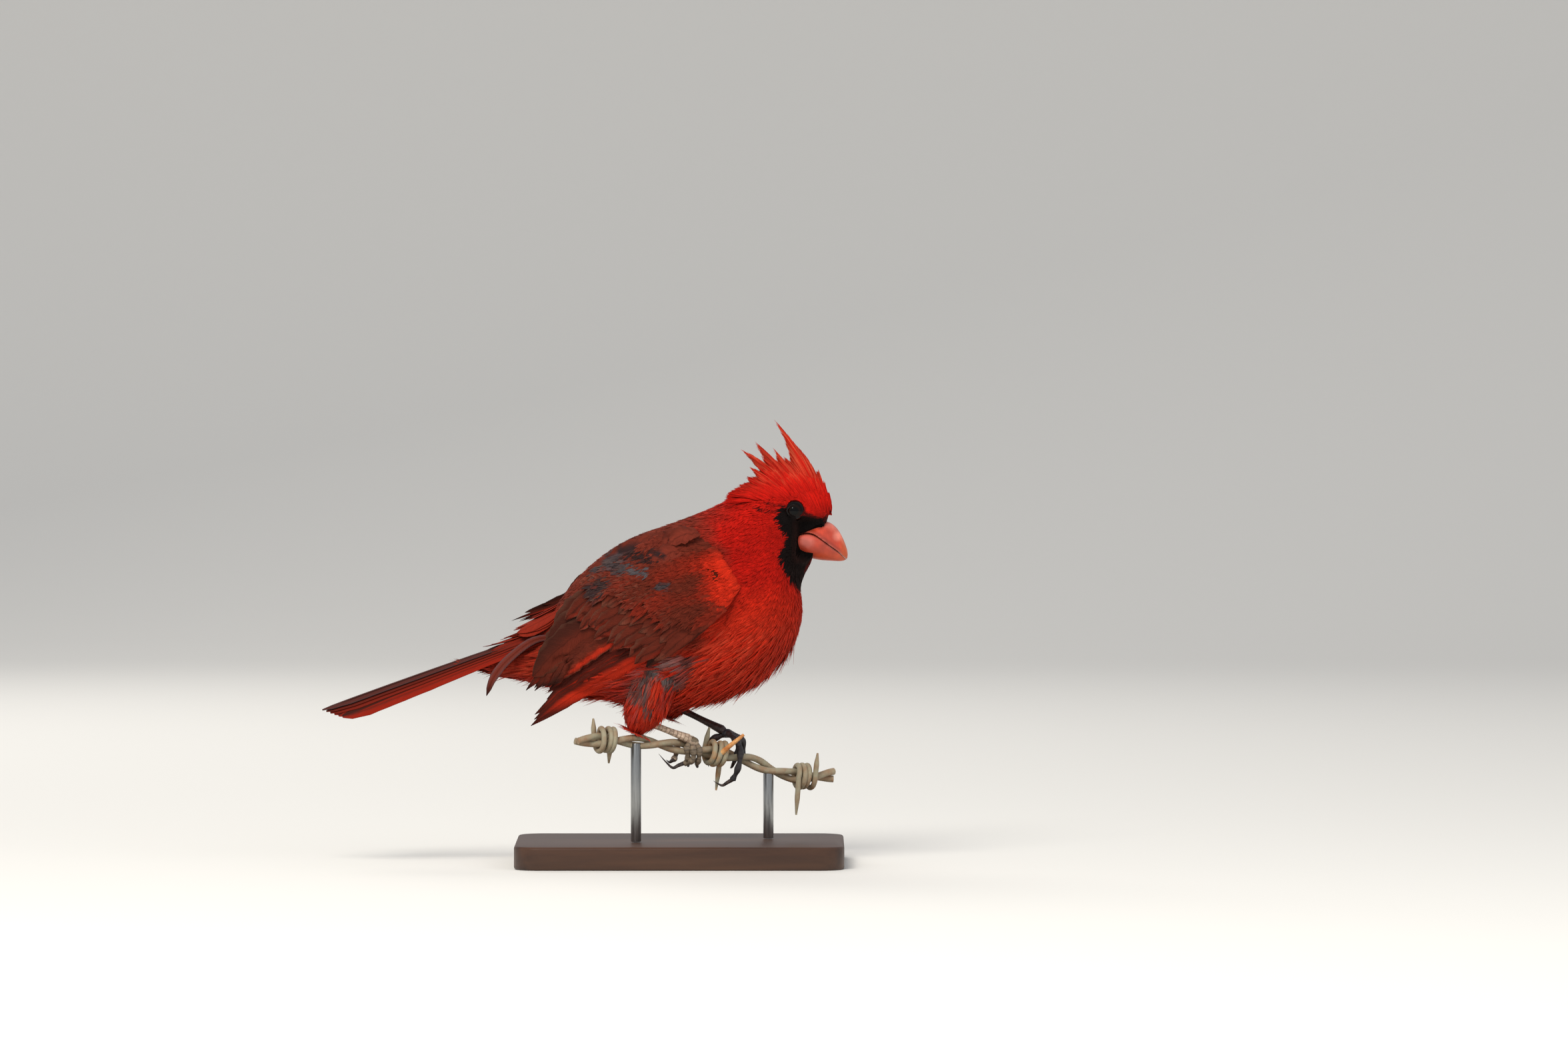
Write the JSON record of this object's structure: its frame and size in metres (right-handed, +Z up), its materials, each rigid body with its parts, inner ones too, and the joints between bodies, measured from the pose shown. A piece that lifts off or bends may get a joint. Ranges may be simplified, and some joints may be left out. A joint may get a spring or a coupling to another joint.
{
  "type": "northern cardinal on barbed wire perch",
  "caption": "Life-size male northern cardinal, crest raised, perched and leaning forward on a short length of barbed wire held by a plain stand.",
  "frame": {"origin": "centre of the stand base's underside", "axes": "+X towards the bird's bill, +Z up, -Y the bird's right side, the side that the picture shows"},
  "size_m": [0.2051, 0.086, 0.1731],
  "materials": {
    "red_feathers": "soft matt feathers",
    "wing_feathers": "smooth matt vanes",
    "tail_feathers": "smooth matt vanes",
    "bill": "satin horn",
    "eye": "wet gloss",
    "legs": "scaly, matt",
    "claws": "satin horn",
    "wire": "weathered zinc with rust",
    "base": "satin varnish",
    "rods": "satin"
  },
  "bodies": {
    "root": {"head": "red_feathers", "neck": "red_feathers", "torso": "red_feathers", "rump": "red_feathers", "tail": "tail_feathers", "thigh_right": "red_feathers", "thigh_left": "red_feathers", "bill_upper": "bill", "bill_lower": "bill", "eye_right": "eye", "eye_left": "eye", "shank_right": "legs", "shank_left": "legs", "foot_right": "legs", "foot_left": "legs", "perch_strand_a": "wire", "perch_strand_b": "wire", "barb_rear": "wire", "barb_middle": "wire", "barb_front": "wire", "stand_base": "base", "stand_rod_rear": "rods", "stand_rod_front": "rods", "wing_right_shoulder": "wing_feathers", "wing_right_secondaries": "wing_feathers", "wing_right_primaries": "wing_feathers", "claw_right_inner": "claws", "claw_right_middle": "claws", "claw_right_outer": "claws", "claw_right_hind": "claws", "wing_left_shoulder": "wing_feathers", "wing_left_secondaries": "wing_feathers", "wing_left_primaries": "wing_feathers", "claw_left_inner": "claws", "claw_left_middle": "claws", "claw_left_outer": "claws", "claw_left_hind": "claws"}
  },
  "joints": []
}
